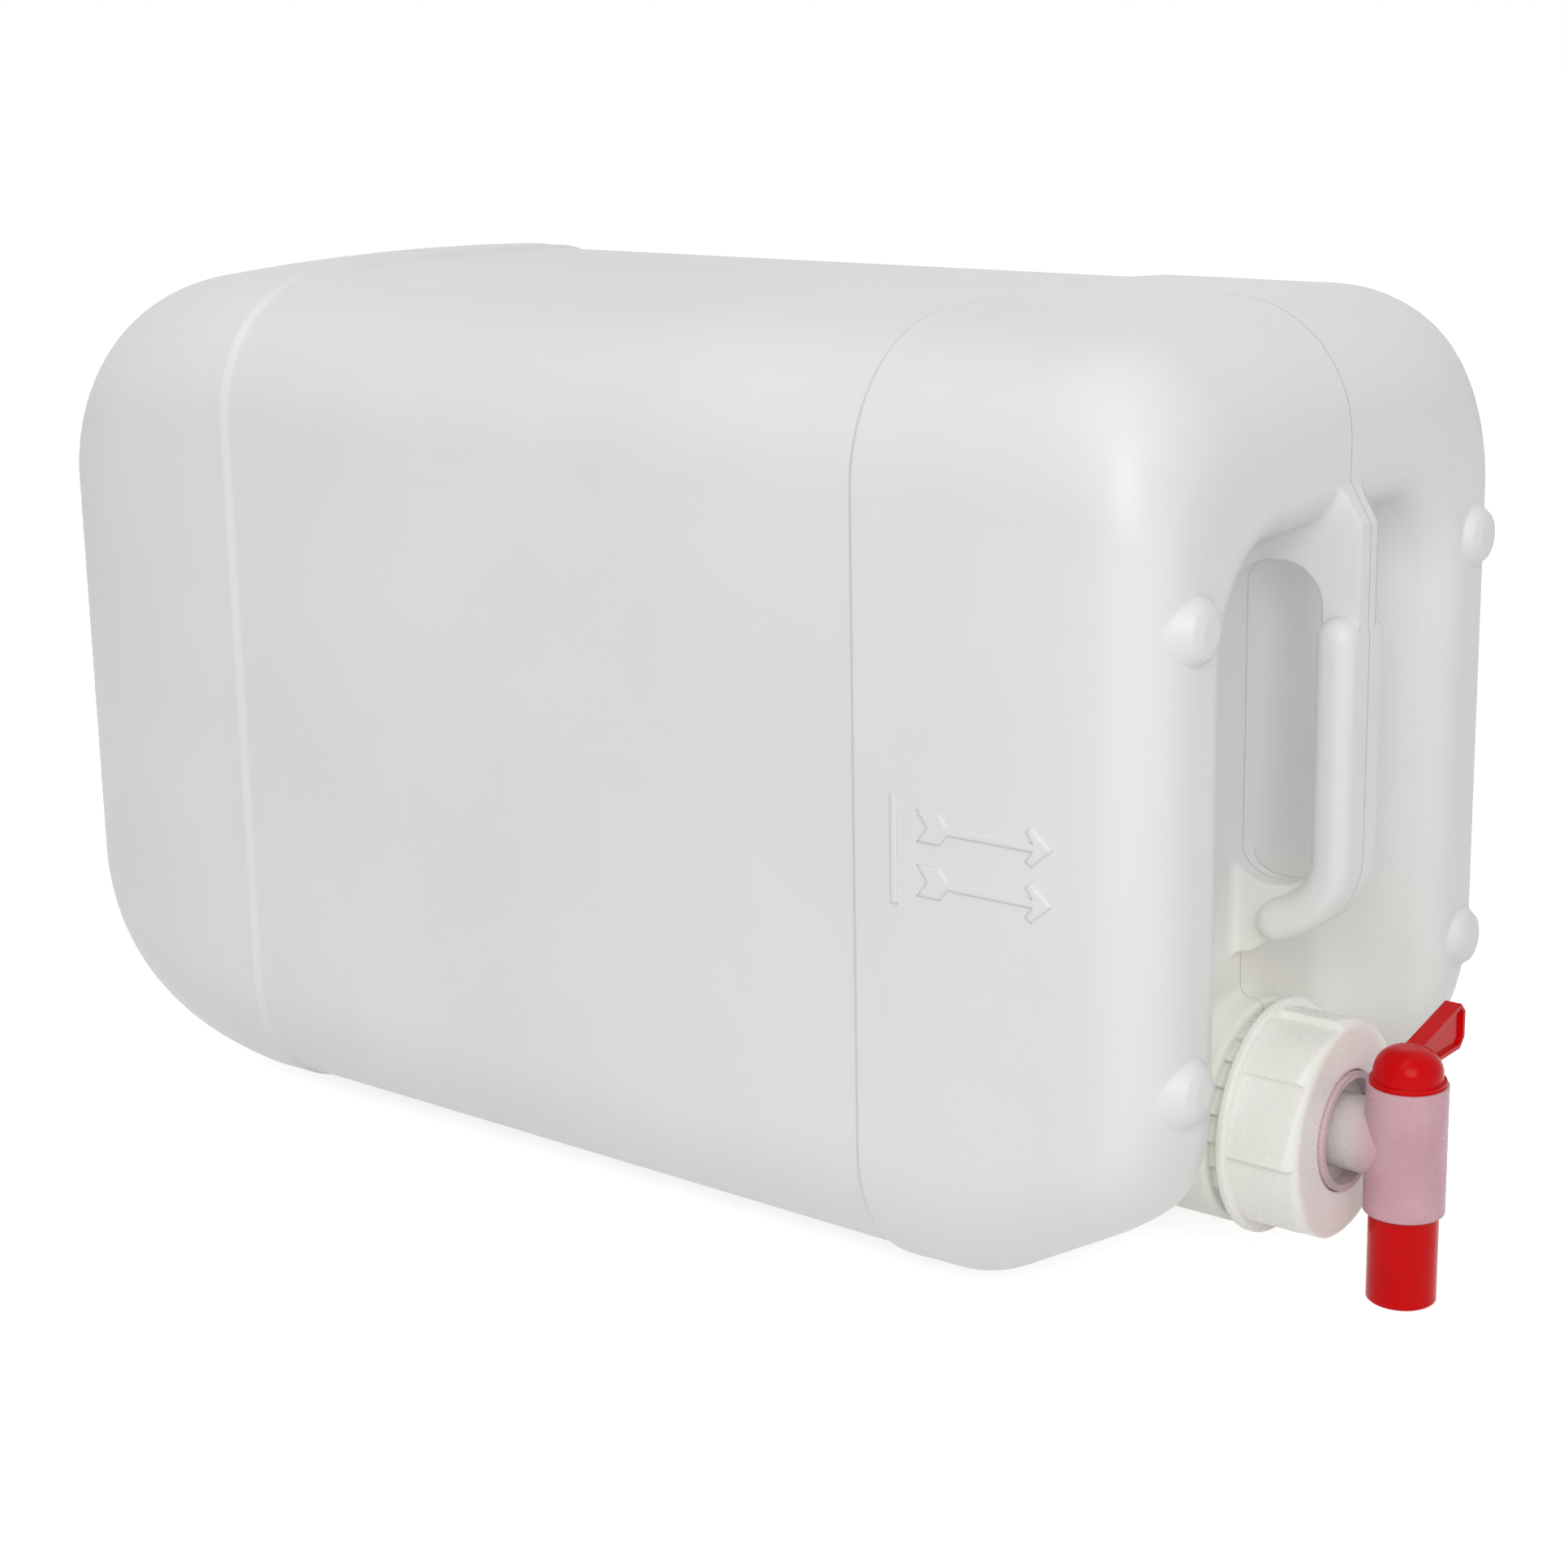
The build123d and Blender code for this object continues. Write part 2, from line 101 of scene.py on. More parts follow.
def opaque(colour: Colour) -> tuple[float, float, float, float]:
    """A colour with full alpha.

    Args:
        colour: linear red, green and blue.

    Returns:
        The colour with alpha 1.
    """
    return (*colour, 1.0)


def place_in_mm(node: Node) -> tuple[Vector, Vector]:
    """Lowest and highest corner of a CAD node.

    Args:
        node: the CAD node.

    Returns:
        Both corners, in millimetres.
    """
    low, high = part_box(node.value)
    return low / MM, high / MM


def frame_width() -> float:
    """Width of the container, without what its mesh rounds away.

    Returns:
        The width, to a whole millimetre.
    """
    low, high = place_in_mm(Node.CONTAINER)
    return round(high.y - low.y, 0)


def point_on_axis(low: Vector, high: Vector, x: float) -> Point:
    """Point on the middle line of a box that lies along X in the plane of symmetry.

    Args:
        low: lowest corner of the box.
        high: highest corner of the box.
        x: place along the line.

    Returns:
        The point, in the units of the corners.
    """
    return (x, 0.0, (low.z + high.z) / 2)


class Graph:
    """A node tree that is built by short calls."""

    def __init__(self, tree: bpy.types.NodeTree) -> None:
        """Keeps the tree that the calls add to.

        Args:
            tree: the material's, world's or group's node tree.
        """
        self.tree = tree

    def add(self, kind: str, **inputs: Feed) -> bpy.types.Node:
        """Adds a node and sets or links its inputs.

        Args:
            kind: the node's type, without its ShaderNode prefix.
            inputs: values or output sockets, by the input's name with _ for a space.

        Returns:
            The new node.
        """
        node = self.tree.nodes.new("ShaderNode" + kind)
        self.feed_all(node, inputs)
        return node

    def add_group(self, group: bpy.types.NodeTree, **inputs: Feed) -> bpy.types.Node:
        """Adds a node that places a group, and sets or links its inputs.

        Args:
            group: the group's tree.
            inputs: values or output sockets, by the input's name with _ for a space.

        Returns:
            The new node.
        """
        node = self.add("Group")
        node.node_tree = group
        self.feed_all(node, inputs)
        return node

    def feed_all(self, node: bpy.types.Node, inputs: dict[str, Feed]) -> None:
        """Feeds several inputs of one node.

        Args:
            node: the node.
            inputs: values or output sockets, by the input's name, where _ may stand for a space.
        """
        for name, value in inputs.items():
            self.feed(node.inputs[name.replace("_", " ")], value)

    def feed(self, socket: bpy.types.NodeSocket, value: Feed) -> None:
        """Links an output socket into an input, or sets the input to a plain value.

        Args:
            socket: the input.
            value: an output socket, or the value.
        """
        if isinstance(value, bpy.types.NodeSocket):
            self.tree.links.new(value, socket)
        else:
            socket.default_value = value

    def maths(self, operation: str, first: Feed, second: Feed = 0.0) -> bpy.types.NodeSocket:
        """Result of one Math node.

        Args:
            operation: the Math node's operation, such as MULTIPLY.
            first: value or socket.
            second: value or socket.

        Returns:
            The node's output socket.
        """
        node = self.add("Math")
        node.operation = operation
        self.feed(node.inputs[0], first)
        self.feed(node.inputs[1], second)
        return node.outputs[0]

    def vector_maths(self, operation: str, first: Feed, second: Feed) -> bpy.types.NodeSocket:
        """Number that one Vector Math node works out from two vectors.

        Args:
            operation: the node's operation, DISTANCE or DOT_PRODUCT.
            first: vector or socket.
            second: vector or socket.

        Returns:
            The node's Value socket.
        """
        node = self.add("VectorMath")
        node.operation = operation
        self.feed(node.inputs[0], first)
        self.feed(node.inputs[1], second)
        return node.outputs["Value"]

    def blend(
        self,
        factor: Feed,
        low: Union[bpy.types.NodeSocket, Colour],
        high: Union[bpy.types.NodeSocket, Colour],
    ) -> bpy.types.NodeSocket:
        """Mixes two colours.

        Args:
            factor: share of the second colour, from 0 to 1.
            low: colour or socket at factor 0.
            high: colour or socket at factor 1.

        Returns:
            The mixed colour's socket.
        """
        node = self.add("Mix")
        node.data_type = "RGBA"
        self.feed(node.inputs["Factor"], factor)
        for place, colour in ((MIX_LOW, low), (MIX_HIGH, high)):
            self.feed(node.inputs[place], opaque(colour) if isinstance(colour, tuple) else colour)
        return node.outputs[MIX_RESULT]

    def ramp(
        self,
        value: bpy.types.NodeSocket,
        start: float,
        end: float,
        low: float = 0.0,
        high: float = 1.0,
    ) -> bpy.types.NodeSocket:
        """Smooth step of a value from low at start to high at end.

        Args:
            value: the socket to map.
            start: input where the result is low.
            end: input where the result is high.
            low: result before start.
            high: result after end.

        Returns:
            The mapped socket.
        """
        node = self.add("MapRange", Value=value, From_Min=start, From_Max=end, To_Min=low, To_Max=high)
        node.interpolation_type = "SMOOTHSTEP"
        return node.outputs["Result"]


def new_group(
    name: str, inputs: Sequence[str], outputs: dict[str, str]
) -> tuple[Graph, bpy.types.Node, bpy.types.Node]:
    """Starts a shader node group.

    Args:
        name: the group's name.
        inputs: names of its float inputs, which each finish sets.
        outputs: outputs with their socket kind, Float, Color or Vector.

    Returns:
        The group's graph, its input node and its output node.
    """
    tree = bpy.data.node_groups.new(name, "ShaderNodeTree")
    for label in inputs:
        tree.interface.new_socket(label, in_out="INPUT", socket_type="NodeSocketFloat")
    for label, kind in outputs.items():
        tree.interface.new_socket(label, in_out="OUTPUT", socket_type="NodeSocket" + kind)
    return Graph(tree), tree.nodes.new("NodeGroupInput"), tree.nodes.new("NodeGroupOutput")


class SharedEffects:
    """Node groups that several finishes place with their own values."""

    def __init__(self) -> None:
        """Builds both groups once."""
        self.skin = self.build_moulded_skin()
        self.edges = self.build_soft_edges()

    @staticmethod
    def build_moulded_skin() -> bpy.types.NodeTree:
        """Skin of a moulded plastic.

        Cloud is a broad noise for uneven walls, Grain a fine one for the mould's blasted face, and
        Height is the grain plus a stretched noise for flow along the length.

        Returns:
            The group's node tree.
        """
        graph, given, result = new_group(
            "moulded_skin",
            ("Grain Scale", "Cloud Scale", "Flow"),
            {"Cloud": "Float", "Grain": "Float", "Height": "Float"},
        )
        where = graph.add("TexCoord").outputs["Object"]
        cloud = graph.add("TexNoise", Vector=where, Scale=given.outputs["Cloud Scale"], Detail=CLOUD_DETAIL)
        grain = graph.add("TexNoise", Vector=where, Scale=given.outputs["Grain Scale"], Detail=FINE_DETAIL)
        stretched = graph.add("Mapping", Vector=where, Scale=FLOW_STRETCH)
        flow = graph.add("TexNoise", Vector=stretched.outputs[0], Scale=FLOW_SCALE, Detail=FINE_DETAIL)
        flow_height = graph.maths("MULTIPLY", flow.outputs[0], given.outputs["Flow"])
        graph.feed(result.inputs["Cloud"], graph.ramp(cloud.outputs[0], NOISE_LOW, NOISE_HIGH))
        graph.feed(result.inputs["Grain"], grain.outputs[0])
        graph.feed(result.inputs["Height"], graph.maths("ADD", grain.outputs[0], flow_height))
        return graph.tree

    @staticmethod
    def build_soft_edges() -> bpy.types.NodeTree:
        """Rounded look of moulded edges, and a mask of where they are, for a painted highlight along them.

        Normal is the Bevel node's, and Edge, the mask of the painted highlight, grows with the angle
        between it and the true normal.

        Returns:
            The group's node tree.
        """
        graph, given, result = new_group("soft_edges", ("Radius",), {"Normal": "Vector", "Edge Highlight": "Float"})
        bevel = graph.add("Bevel", Radius=given.outputs["Radius"])
        bevel.samples = BEVEL_SAMPLES
        true_normal = graph.add("NewGeometry").outputs["True Normal"]
        match = graph.vector_maths("DOT_PRODUCT", bevel.outputs[0], true_normal)
        graph.feed(result.inputs["Normal"], bevel.outputs[0])
        graph.feed(result.inputs["Edge Highlight"], graph.ramp(match, EDGE_START, EDGE_FULL))
        return graph.tree


@dataclass(frozen=True)
class Tint:
    """A colour that is at its strength near a point and gone at a distance from it, in millimetres; each
    one here is part of painted light.
    """

    colour: Colour
    centre: Point
    near: float
    far: float
    strength: float

    def mask(self, graph: Graph) -> bpy.types.NodeSocket:
        """Mask of the tint: its strength within near of the centre, and nothing past far.

        Args:
            graph: the material's graph.

        Returns:
            The mask's socket.
        """
        where = graph.add("TexCoord").outputs["Object"]
        away = graph.vector_maths("DISTANCE", where, tuple(Vector(self.centre) * MM))
        return graph.ramp(away, self.near * MM, self.far * MM, self.strength, 0.0)


@dataclass(frozen=True)
class PlasticFinish:
    """A moulded plastic: its two tones, painted light near given points, a painted highlight along its
    edges, its gloss, its grain and how light gets through it.
    """

    name: str
    pale: Colour
    deep: Colour
    # Colour of the painted highlight along rounded edges
    edge_highlight: Colour
    roughness: float
    roughness_spread: float = 0.06
    grain_scale: float = 900.0
    cloud_scale: float = 9.0
    flow: float = 0.4
    bump_mm: float = 0.02
    edge_radius_mm: float = 1.0
    # Share of the painted edge highlight over the plastic's own tone
    edge_highlight_strength: float = 0.35
    transmission: float = 0.0
    subsurface: float = 0.0
    subsurface_mm: float = 3.0
    specular: float = 0.5
    ior: float = 1.5
    parting_mm: float = 0.0
    parting_lift_mm: float = 0.35
    tints: tuple[Tint, ...] = ()

    def build(self, effects: SharedEffects) -> bpy.types.Material:
        """Makes the material.

        Args:
            effects: the shared node groups.

        Returns:
            The finished material.
        """
        material = bpy.data.materials.new(self.name)
        material.use_nodes = True
        graph = Graph(material.node_tree)
        skin = graph.add_group(
            effects.skin, Grain_Scale=self.grain_scale, Cloud_Scale=self.cloud_scale, Flow=self.flow
        )
        edges = graph.add_group(effects.edges, Radius=self.edge_radius_mm * MM)
        bump = graph.add(
            "Bump",
            Height=self.height(graph, skin.outputs["Height"]),
            Distance=self.bump_mm * MM,
            Normal=edges.outputs["Normal"],
        )
        settings = {
            "Base Color": self.colour(graph, skin.outputs["Cloud"], edges.outputs["Edge Highlight"]),
            "Roughness": self.gloss(graph, skin.outputs["Grain"]),
            "Normal": bump.outputs[0],
            "Transmission Weight": self.transmission,
            "Subsurface Weight": self.subsurface,
            "Subsurface Scale": self.subsurface_mm * MM,
            "Subsurface Radius": SCATTER,
            "Specular IOR Level": self.specular,
            "IOR": self.ior,
        }
        shader = next(n for n in graph.tree.nodes if n.type == "BSDF_PRINCIPLED")
        graph.feed_all(shader, settings)
        return material

    def colour(
        self, graph: Graph, cloud: bpy.types.NodeSocket, edge_highlight: bpy.types.NodeSocket
    ) -> bpy.types.NodeSocket:
        """Both tones by the cloud, then each tint of painted light over them, then the painted highlight on
        the edges.

        Args:
            graph: the material's graph.
            cloud: share of the pale tone.
            edge_highlight: mask of the edges' painted highlight.

        Returns:
            The colour's socket.
        """
        colour = graph.blend(cloud, self.deep, self.pale)
        for tint in self.tints:
            colour = graph.blend(tint.mask(graph), colour, tint.colour)
        # Painted highlight: a lighter colour mixed in along the rounded edges
        return graph.blend(graph.maths("MULTIPLY", edge_highlight, self.edge_highlight_strength), colour, self.edge_highlight)

    def gloss(self, graph: Graph, grain: bpy.types.NodeSocket) -> bpy.types.NodeSocket:
        """Roughness that varies by its spread, with the grain.

        Args:
            graph: the material's graph.
            grain: the fine noise.

        Returns:
            The roughness's socket.
        """
        smoothest = self.roughness - self.roughness_spread
        roughest = self.roughness + self.roughness_spread
        return graph.ramp(grain, NOISE_LOW, NOISE_HIGH, smoothest, roughest)

    def height(self, graph: Graph, skin_height: bpy.types.NodeSocket) -> bpy.types.NodeSocket:
        """Skin height, with the mould's parting line raised on the middle plane where there is one.

        Args:
            graph: the material's graph.
            skin_height: height of the grain and flow.

        Returns:
            The height in units of bump_mm.
        """
        if not self.parting_mm:
            return skin_height
        where = graph.add("SeparateXYZ", Vector=graph.add("TexCoord").outputs["Object"])
        aside = graph.maths("ABSOLUTE", where.outputs["Y"])
        width = self.parting_mm * MM
        lift = self.parting_lift_mm / self.bump_mm
        line = graph.ramp(aside, PARTING_TOP * width, PARTING_FOOT * width, lift, 0.0)
        return graph.maths("ADD", skin_height, line)


def dress(node: Node, material: bpy.types.Material) -> None:
    """Gives a CAD node its finish in every material slot.

    Args:
        node: the CAD node.
        material: its new material.
    """
    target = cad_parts[node.value]
    if not target.material_slots:
        target.data.materials.append(material)
    for slot in target.material_slots:
        slot.link = "OBJECT"
        slot.material = material
    log.info("dressed %s with %s", node.value, material.name)


def new_piece(
    name: str, points: np.ndarray, faces: Sequence[Sequence[int]], material: bpy.types.Material
) -> bpy.types.Object:
    """Makes an object at the origin from points in metres.

    Args:
        name: the piece's name.
        points: vertex coordinates, one row each.
        faces: vertex numbers of each face.
        material: its finish.

    Returns:
        The new object.
    """
    mesh = bpy.data.meshes.new(name)
    mesh.from_pydata(points.tolist(), [], [list(face) for face in faces])
    mesh.update()
    mesh.materials.append(material)
    piece = bpy.data.objects.new(name, mesh)
    bpy.context.scene.collection.objects.link(piece)
    return piece


def inset_outline(outline: np.ndarray, inset: float) -> np.ndarray:
    """Moves a closed outline in by a distance.

    Each corner moves along its mitre: the sum of its two edge normals, over one plus their dot product.

    Args:
        outline: corners in order, turning left.
        inset: distance, positive inwards.

    Returns:
        The moved corners.
    """
    along = np.roll(outline, -1, axis=0) - outline
    along /= np.linalg.norm(along, axis=1, keepdims=True)
    inwards = np.stack([-along[:, 1], along[:, 0]], axis=1)
    before = np.roll(inwards, 1, axis=0)
    mitre = (before + inwards) / (1 + (before * inwards).sum(axis=1, keepdims=True))
    return outline + inset * mitre


@dataclass
class HandlingSigns:
    """Two raised arrows and a bar on the near side of the shoulder, in millimetres.

    Each sign is its outline carried up in three rings: sunk in the wall, at the foot of its bevel,
    and moved in at its top.
    """

    lift: float = 0.75
    sunk: float = 0.4
    bevel: float = 0.55
    arrow_start: float = 136.6
    arrow_levels: tuple[float, float] = (157.9, 141.7)
    arrow_length: float = 46.2
    feather_half: float = 4.8
    feather_notch: float = 3.6
    feather_length: float = 8.2
    feather_taper: float = 2.8
    shaft_half: float = 1.5
    head_length: float = 7.0
    head_half: float = 6.0
    head_back: float = 2.2
    head_back_half: float = 4.3
    bar_place: float = 128.6
    bar_half_width: float = 1.3
    bar_low: float = 133.1
    bar_high: float = 166.1

    def arrow_outline(self) -> np.ndarray:
        """Lower half of the arrow's outline, and its mirror image.

        Returns:
            One closed outline that turns left, from the feathers' notch on the middle line.
        """
        neck = self.feather_length + self.feather_taper
        head = self.arrow_length - self.head_length
        lower = np.array(
            [
                (self.feather_notch, 0.0),
                (0.0, -self.feather_half),
                (self.feather_length, -self.feather_half),
                (neck, -self.shaft_half),
                (head, -self.shaft_half),
                (head - self.head_back, -self.head_back_half),
                (head, -self.head_half),
                (self.arrow_length, 0.0),
            ]
        )
        upper = lower[1:-1][::-1] * (1.0, -1.0)
        return np.concatenate([lower, upper])

    def bar_outline(self) -> np.ndarray:
        """The bar's outline.

        Returns:
            Its four corners, turning left.
        """
        half = self.bar_half_width
        return np.array(
            [(-half, self.bar_low), (half, self.bar_low), (half, self.bar_high), (-half, self.bar_high)]
        )

    def raise_sign(
        self, name: str, outline: np.ndarray, wall_y: float, material: bpy.types.Material
    ) -> None:
        """Raises one outline from the wall and lets it ride on the container.

        Args:
            name: the sign's name.
            outline: corners as (length, height), in millimetres.
            wall_y: place of the wall across the width, in millimetres.
            material: the container's own finish.
        """
        count = len(outline)
        rings = ((0.0, -self.sunk), (0.0, self.lift - self.bevel), (self.bevel, self.lift))
        ring_points = []
        for inset, height in rings:
            plan = inset_outline(outline, inset)
            ring_points.append(np.stack([plan[:, 0], np.full(count, wall_y - height), plan[:, 1]], axis=1))
        here = np.arange(count)
        after = np.roll(here, -1)
        top = (len(rings) - 1) * count
        faces = [list(range(top, top + count)), list(reversed(range(count)))]
        for low in range(0, top, count):
            high = low + count
            quads = np.stack([here + low, after + low, after + high, here + high], axis=1)
            faces.extend(quads.tolist())
        piece = new_piece(name, np.concatenate(ring_points) * MM, faces, material)
        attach(piece, Body.CONTAINER.value)
        log.info("raised %s", name)

    def build(self, material: bpy.types.Material) -> None:
        """Makes the two arrows and their bar on the container's near side.

        Args:
            material: the container's own finish.
        """
        wall_y = -frame_width() / 2
        for name, level in zip(("arrow_upper", "arrow_lower"), self.arrow_levels):
            outline = self.arrow_outline() + (self.arrow_start, level)
            self.raise_sign(name, outline, wall_y, material)
        self.raise_sign("arrow_bar", self.bar_outline() + (self.bar_place, 0.0), wall_y, material)


@dataclass
class Container:
    """The blown container and the signs on it, with painted light round its neck, a lighter and warmer
    colour, in millimetres.
    """

    painted_neck_light_near: float = 30.0
    painted_neck_light_far: float = 95.0
    signs: HandlingSigns = field(default_factory=HandlingSigns)

    def build(self, effects: SharedEffects) -> None:
        """Dresses the shell and raises its signs.

        Args:
            effects: the shared node groups.
        """
        low, high = place_in_mm(Node.NUT)
        # Painted light: a lighter, warmer colour round the neck stands for light shining through the
        # translucent wall where the neck would be shaded
        painted_neck_light = Tint(
            colour=(0.93, 0.92, 0.84),
            centre=point_on_axis(low, high, low.x),
            near=self.painted_neck_light_near,
            far=self.painted_neck_light_far,
            strength=0.8,
        )
        finish = PlasticFinish(
            name="blown_natural_plastic",
            pale=(0.80, 0.812, 0.802),
            deep=(0.765, 0.778, 0.768),
            edge_highlight=(0.86, 0.87, 0.85),
            roughness=0.42,
            bump_mm=0.03,
            edge_radius_mm=1.6,
            edge_highlight_strength=0.3,
            parting_mm=1.1,
            tints=(painted_neck_light,),
        )
        material = finish.build(effects)
        dress(Node.CONTAINER, material)
        self.signs.build(material)


@dataclass
class Closure:
    """The union nut, with a painted pink glow of the red plug's light towards the tap ahead of its mouth,
    and its gasket, in millimetres.
    """

    painted_plug_glow_ahead: float = 6.0
    painted_plug_glow_near: float = 16.0
    painted_plug_glow_far: float = 40.0

    def build(self, effects: SharedEffects) -> None:
        """Dresses the nut and the gasket.

        Args:
            effects: the shared node groups.
        """
        low, high = place_in_mm(Node.NUT)
        # Painted light: pink near the tap stands for the red plug's light scattered through the milky
        # plastic
        painted_plug_glow = Tint(
            colour=(0.93, 0.84, 0.83),
            centre=point_on_axis(low, high, high.x + self.painted_plug_glow_ahead),
            near=self.painted_plug_glow_near,
            far=self.painted_plug_glow_far,
            strength=0.6,
        )
        nut = PlasticFinish(
            name="milky_nut_plastic",
            pale=(0.945, 0.945, 0.90),
            deep=(0.90, 0.905, 0.84),
            edge_highlight=(0.96, 0.96, 0.93),
            roughness=0.30,
            cloud_scale=35.0,
            bump_mm=0.006,
            edge_radius_mm=0.8,
            edge_highlight_strength=0.45,
            subsurface=0.3,
            subsurface_mm=4.0,
            tints=(painted_plug_glow,),
        )
        dress(Node.NUT, nut.build(effects))
        gasket = PlasticFinish(
            name="soft_gasket_rubber",
            pale=(0.74, 0.74, 0.70),
            deep=(0.66, 0.66, 0.62),
            edge_highlight=(0.78, 0.78, 0.74),
            roughness=0.62,
            edge_radius_mm=0.3,
        )
        dress(Node.GASKET, gasket.build(effects))


@dataclass
class DrainTap:
    """The translucent tap body, whose pink is painted light from the red plug and which is paler at its
    collar where that painted glow fades, and the red plug in it, in millimetres.
    """

    collar_glow_fade_near: float = 14.0
    collar_glow_fade_far: float = 24.0

    def build(self, effects: SharedEffects) -> None:
        """Dresses the tap body and the plug.

        Args:
            effects: the shared node groups.
        """
        low, high = place_in_mm(Node.TAP)
        collar_glow_fade = Tint(
            colour=(0.92, 0.87, 0.86),
            centre=point_on_axis(low, high, low.x),
            near=self.collar_glow_fade_near,
            far=self.collar_glow_fade_far,
            strength=0.95,
        )
        # Painted light: the pink of both tones and of the edge colour stands for the red plug's light
        # scattered through the clear plastic; the collar colour is paler where that glow fades
        body = PlasticFinish(
            name="translucent_tap_plastic",
            pale=(0.86, 0.57, 0.64),
            deep=(0.80, 0.50, 0.57),
            edge_highlight=(0.95, 0.72, 0.77),
            roughness=0.33,
            bump_mm=0.006,
            cloud_scale=60.0,
            edge_radius_mm=0.5,
            edge_highlight_strength=0.6,
            transmission=0.35,
            ior=1.25,
            subsurface=0.2,
            subsurface_mm=2.0,
            tints=(collar_glow_fade,),
        )
        dress(Node.TAP, body.build(effects))
        plug = PlasticFinish(
            name="red_plug_plastic",
            pale=(0.66, 0.001, 0.003),
            deep=(0.60, 0.001, 0.002),
            edge_highlight=(0.74, 0.01, 0.015),
            roughness=0.20,
            roughness_spread=0.04,
            cloud_scale=45.0,
            bump_mm=0.004,
            edge_radius_mm=0.6,
            edge_highlight_strength=0.4,
            specular=0.10,
        )
        dress(Node.PLUG, plug.build(effects))


@dataclass(frozen=True)
class AreaLamp:
    """A square soft light that points at a target, in metres and watts."""

    name: str
    place: Point
    target: Point
    size: float
    watts: float

    def build(self) -> None:
        """Adds the lamp."""
        data = bpy.data.lights.new(self.name, "AREA")
        data.energy = self.watts
        data.size = self.size
        lamp = bpy.data.objects.new(self.name, data)
        lamp.location = self.place
        aim = Vector(self.target) - Vector(self.place)
        lamp.rotation_euler = aim.to_track_quat("-Z", "Y").to_euler()
        bpy.context.scene.collection.objects.link(lamp)


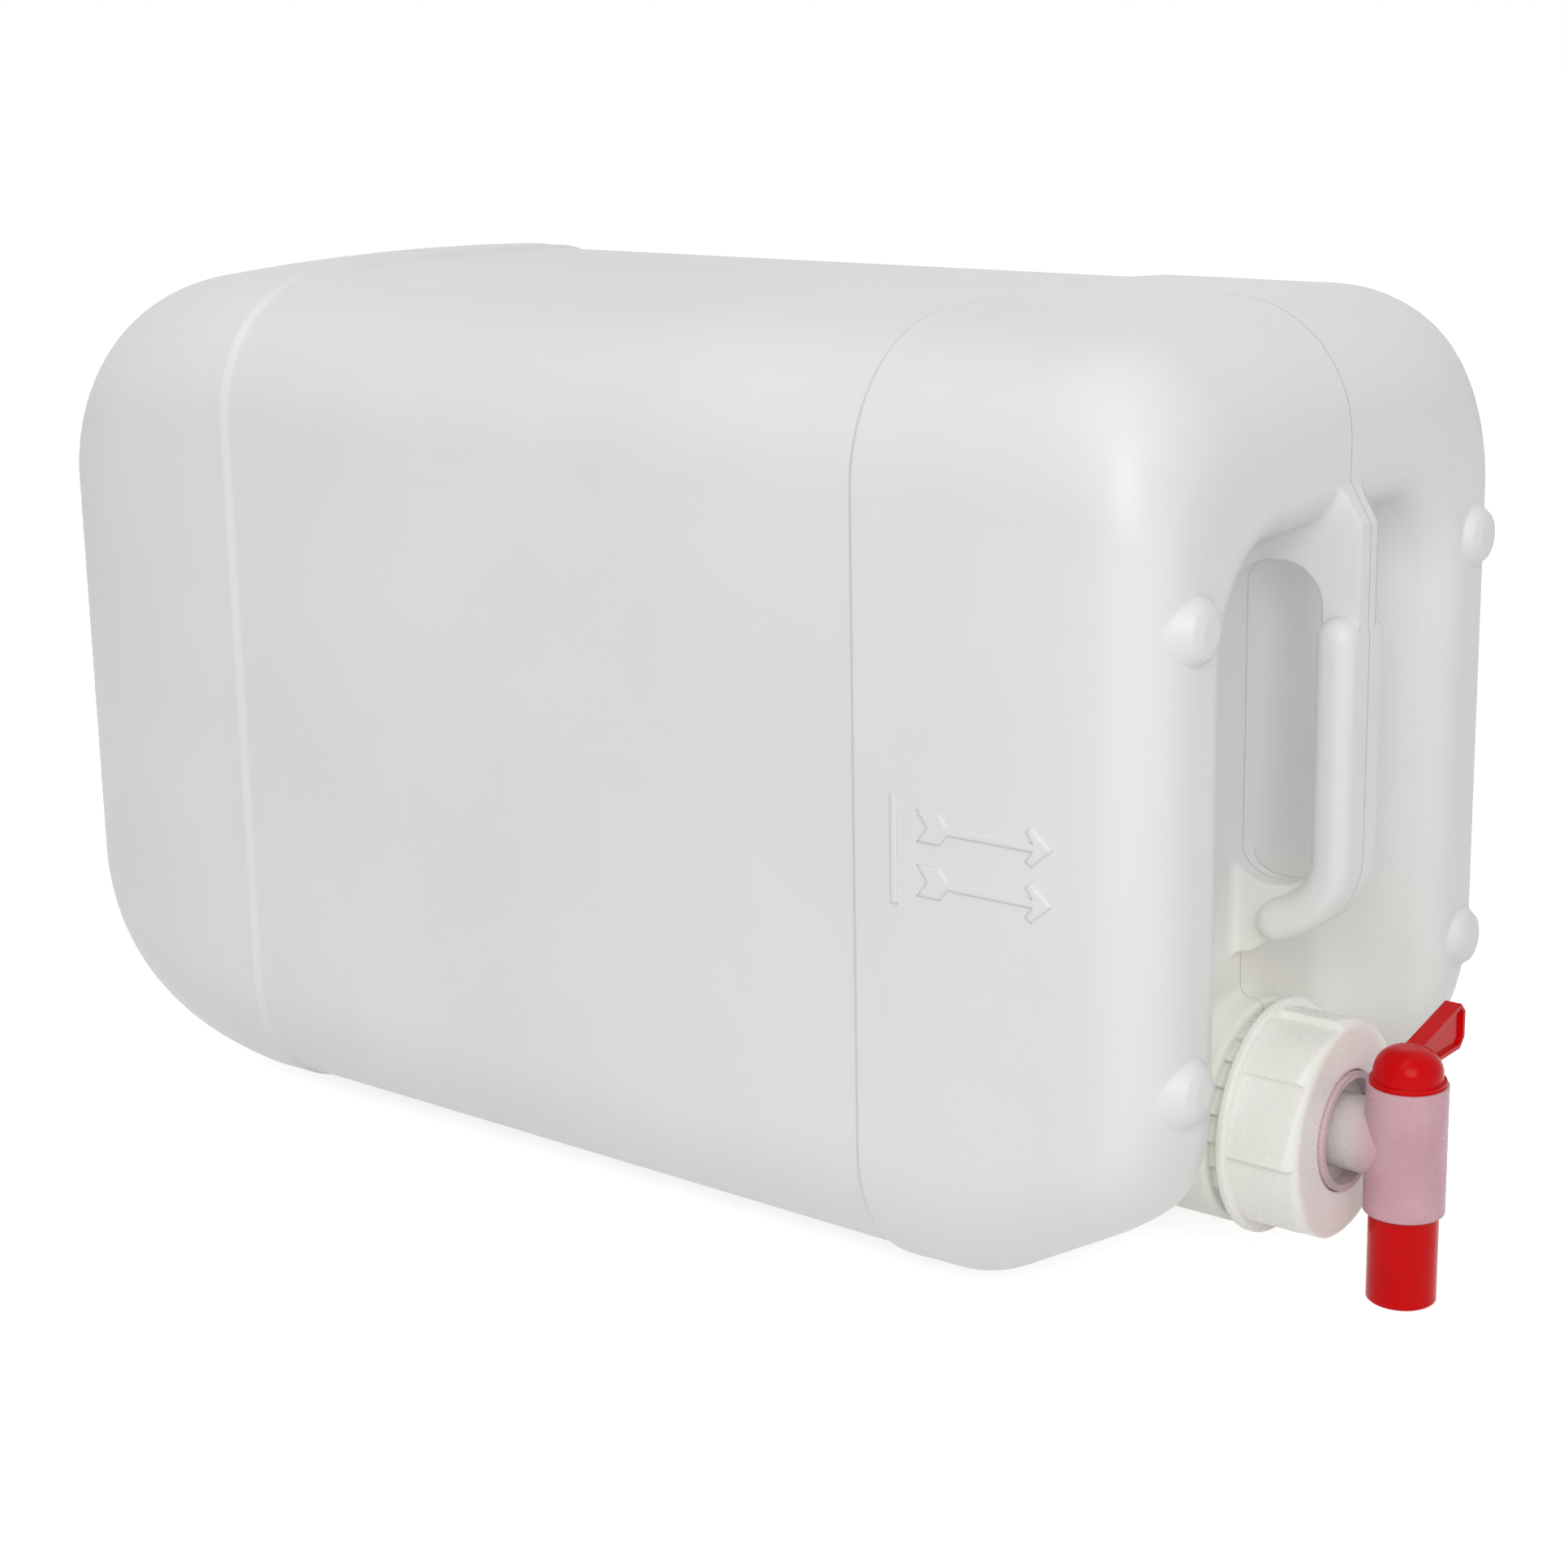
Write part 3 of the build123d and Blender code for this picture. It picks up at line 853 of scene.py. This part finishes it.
@dataclass
class Studio:
    """Floor, plain light all round, and soft lamps. The floor's half side is in metres."""

    floor_half: float = 12.0
    floor_steps: int = 24
    floor_grey: float = 0.8
    floor_glow: float = 0.72
    ambient: float = 0.43
    lamps: tuple[AreaLamp, ...] = (
        AreaLamp(
            name="key_lamp", place=(1.25, -1.45, 1.1), target=(0.1, -0.1, 0.15), size=1.2, watts=18.5
        ),
        AreaLamp(name="top_lamp", place=(-0.1, -0.7, 2.0), target=(0.0, 0.0, 0.2), size=1.5, watts=7.0),
    )

    def build(self) -> None:
        """Makes the world, the floor and the lamps."""
        self.build_world()
        points, faces = self.floor_grid()
        material = self.floor_material()
        new_piece("floor", points, faces, material)
        for lamp in self.lamps:
            lamp.build()

    @staticmethod
    def seen_directly(graph: Graph) -> bpy.types.NodeSocket:
        """Tells what is looked at from the light that falls on things.

        Args:
            graph: the material's or world's graph.

        Returns:
            Socket of 1 for camera, glossy and transmitted rays, and 0 for the others.
        """
        path = graph.add("LightPath")
        seen = graph.maths("MAXIMUM", path.outputs["Is Camera Ray"], path.outputs["Is Glossy Ray"])
        return graph.maths("MAXIMUM", seen, path.outputs["Is Transmission Ray"])

    def build_world(self) -> None:
        """White where it is seen, and a plain even light on the object."""
        world = bpy.data.worlds.new("studio_world")
        world.use_nodes = True
        bpy.context.scene.world = world
        graph = Graph(world.node_tree)
        level = graph.ramp(self.seen_directly(graph), 0.0, 1.0, self.ambient, 1.0)
        background = next(n for n in graph.tree.nodes if n.type == "BACKGROUND")
        graph.feed_all(background, {"Color": opaque(WHITE), "Strength": level})

    def floor_grid(self) -> tuple[np.ndarray, list[list[int]]]:
        """Flat square floor: a point at each pair of equal steps along X and Y, at height 0.

        Returns:
            The points, and the four corners of each square between them.
        """
        steps = np.linspace(-self.floor_half, self.floor_half, self.floor_steps + 1)
        x, y = np.meshgrid(steps, steps, indexing="ij")
        points = np.stack([x.ravel(), y.ravel(), np.zeros(x.size)], axis=1)
        row = self.floor_steps + 1
        first = (np.arange(self.floor_steps)[:, None] * row + np.arange(self.floor_steps)).ravel()
        faces = np.stack([first, first + row, first + row + 1, first + 1], axis=1)
        return points, faces.tolist()

    def floor_material(self) -> bpy.types.Material:
        """Diffuse grey that takes a shadow, with a glow added where it is seen directly.

        Returns:
            The floor's material, white to the camera.
        """
        material = bpy.data.materials.new("pale_floor")
        material.use_nodes = True
        graph = Graph(material.node_tree)
        graph.tree.nodes.clear()
        diffuse = graph.add("BsdfDiffuse", Color=opaque((self.floor_grey,) * 3))
        strength = graph.maths("MULTIPLY", self.seen_directly(graph), self.floor_glow)
        glow = graph.add("Emission", Strength=strength)
        both = graph.add("AddShader")
        graph.feed(both.inputs[0], diffuse.outputs[0])
        graph.feed(both.inputs[1], glow.outputs[0])
        graph.add("OutputMaterial", Surface=both.outputs[0])
        return material


@dataclass(frozen=True)
class PhotoCamera:
    """The photograph's camera: its place in metres, its turn, tilt and roll in degrees."""

    place: Point = (0.6034, -0.7595, 0.3872)
    turn: float = 38.267
    tilt: float = 13.279
    roll: float = -1.0
    shift_up: float = -0.06
    focal_pixels: float = 3595.6
    image_pixels: int = 1932
    sensor_mm: float = 36.0

    def build(self) -> None:
        """Makes the camera and sets it as the scene's."""
        data = bpy.data.cameras.new("photo_camera")
        data.sensor_width = self.sensor_mm
        data.lens = self.focal_pixels * self.sensor_mm / self.image_pixels
        data.shift_y = self.shift_up
        camera = bpy.data.objects.new("photo_camera", data)
        heading = Matrix.Rotation(radians(self.turn), 4, "Z")
        tilt = Matrix.Rotation(radians(LEVEL_TURN - self.tilt), 4, "X")
        roll = Matrix.Rotation(radians(self.roll), 4, "Z")
        camera.matrix_world = Matrix.Translation(self.place) @ heading @ tilt @ roll
        bpy.context.scene.collection.objects.link(camera)
        bpy.context.scene.camera = camera


def main() -> None:
    """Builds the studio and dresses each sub-assembly in order."""
    logging.basicConfig(level=logging.INFO)
    bpy.context.scene.view_settings.view_transform = "Standard"
    effects = SharedEffects()
    PhotoCamera().build()
    Studio().build()
    for assembly in (Container(), Closure(), DrainTap()):
        assembly.build(effects)
        log.info("built %s", type(assembly).__name__)


if __name__ == "__main__":
    main()
